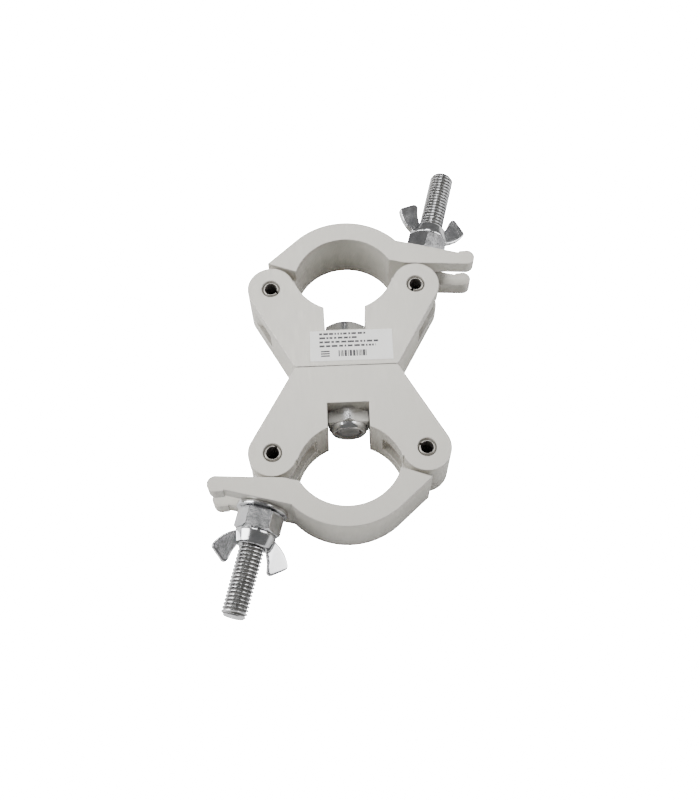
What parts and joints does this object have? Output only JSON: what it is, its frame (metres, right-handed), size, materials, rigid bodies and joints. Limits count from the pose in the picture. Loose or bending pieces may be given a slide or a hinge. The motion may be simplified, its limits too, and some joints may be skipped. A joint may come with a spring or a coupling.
{
  "type": "swivel pipe clamp",
  "caption": "Swivel tube coupler: two hinged aluminium half couplers back to back on a swivel bolt, each closed by a jaw, a swing eyebolt and a wing nut.",
  "frame": {"origin": "on the swivel axis, midway between the two halves and midway along the profile", "axes": "+Z along both tubes at rest, +Y along the swivel bolt from the lower to the upper clamp, +X towards the lower jaw's hinge"},
  "size_m": [0.1308, 0.2312, 0.0302],
  "materials": {
    "body_aluminium": "matte",
    "jaw_aluminium": "matte",
    "pin_steel": "satin",
    "zinc_steel": "gloss",
    "nylon": "satin",
    "label": "matte"
  },
  "bodies": {
    "lower_half": {"lower_body": "body_aluminium", "lower_hinge_pin": "pin_steel", "lower_eyebolt_pin": "pin_steel", "swivel_nut": "zinc_steel", "swivel_nut_insert": "nylon", "thrust_washer": "nylon"},
    "upper_half": {"upper_body": "body_aluminium", "upper_hinge_pin": "pin_steel", "upper_eyebolt_pin": "pin_steel", "swivel_bolt": "zinc_steel", "rating_label": "label"},
    "lower_jaw": {"lower_jaw": "jaw_aluminium"},
    "lower_eyebolt": {"lower_eyebolt": "zinc_steel"},
    "lower_washer": {"lower_washer": "zinc_steel"},
    "lower_hex_nut": {"lower_hex_nut": "zinc_steel"},
    "lower_wing_nut": {"lower_wing_nut": "zinc_steel"},
    "upper_jaw": {"upper_jaw": "jaw_aluminium"},
    "upper_eyebolt": {"upper_eyebolt": "zinc_steel"},
    "upper_washer": {"upper_washer": "zinc_steel"},
    "upper_hex_nut": {"upper_hex_nut": "zinc_steel"},
    "upper_wing_nut": {"upper_wing_nut": "zinc_steel"}
  },
  "joints": [
    {"name": "swivel", "type": "hinge", "parent": "lower_half", "child": "upper_half", "pos_m": [0, 0, 0], "axis": [0, 1, 0], "range_deg": [-180, 180]},
    {"name": "lower_nut_travel", "type": "slide", "parent": "lower_eyebolt", "child": "lower_washer", "axis": [-0.2588, -0.9659, 0], "range_m": [0, 0.03213]},
    {"name": "lower_jaw_swing", "type": "hinge", "parent": "lower_half", "child": "lower_jaw", "pos_m": [0.0354, -0.0429, 0], "axis": [0, 0, 1], "range_deg": [0, 26.1]},
    {"name": "lower_eyebolt_swing", "type": "hinge", "parent": "lower_half", "child": "lower_eyebolt", "pos_m": [-0.0354, -0.0429, 0], "axis": [0, 0, 1], "range_deg": [0, 26.1]},
    {"name": "lower_wing_nut_turn", "type": "hinge", "parent": "lower_washer", "child": "lower_wing_nut", "pos_m": [-0.04446, -0.07671, 0], "axis": [-0.2588, -0.9659, 0], "range_deg": [0, 6629.2]},
    {"name": "lower_hex_nut_turn", "type": "hinge", "parent": "lower_washer", "child": "lower_hex_nut", "pos_m": [-0.04265, -0.06995, 0], "axis": [-0.2588, -0.9659, 0], "range_deg": [0, 6629.2]},
    {"name": "upper_nut_travel", "type": "slide", "parent": "upper_eyebolt", "child": "upper_washer", "axis": [0.2588, 0.9659, 0], "range_m": [0, 0.03213]},
    {"name": "upper_jaw_swing", "type": "hinge", "parent": "upper_half", "child": "upper_jaw", "pos_m": [-0.0354, 0.0429, 0], "axis": [0, 0, 1], "range_deg": [0, 26.1]},
    {"name": "upper_eyebolt_swing", "type": "hinge", "parent": "upper_half", "child": "upper_eyebolt", "pos_m": [0.0354, 0.0429, 0], "axis": [0, 0, 1], "range_deg": [0, 26.1]},
    {"name": "upper_wing_nut_turn", "type": "hinge", "parent": "upper_washer", "child": "upper_wing_nut", "pos_m": [0.04446, 0.07671, 0], "axis": [0.2588, 0.9659, 0], "range_deg": [0, 6629.2]},
    {"name": "upper_hex_nut_turn", "type": "hinge", "parent": "upper_washer", "child": "upper_hex_nut", "pos_m": [0.04265, 0.06995, 0], "axis": [0.2588, 0.9659, 0], "range_deg": [0, 6629.2]}
  ],
  "couplings": [
    {"joint": "lower_jaw_swing", "follows": "lower_nut_travel", "rad_per_m": 14.124},
    {"joint": "lower_eyebolt_swing", "follows": "lower_nut_travel", "rad_per_m": 14.124},
    {"joint": "lower_wing_nut_turn", "follows": "lower_nut_travel", "rad_per_m": 3590.4},
    {"joint": "lower_hex_nut_turn", "follows": "lower_nut_travel", "rad_per_m": 3590.4},
    {"joint": "upper_jaw_swing", "follows": "upper_nut_travel", "rad_per_m": 14.124},
    {"joint": "upper_eyebolt_swing", "follows": "upper_nut_travel", "rad_per_m": 14.124},
    {"joint": "upper_wing_nut_turn", "follows": "upper_nut_travel", "rad_per_m": 3590.4},
    {"joint": "upper_hex_nut_turn", "follows": "upper_nut_travel", "rad_per_m": 3590.4}
  ]
}
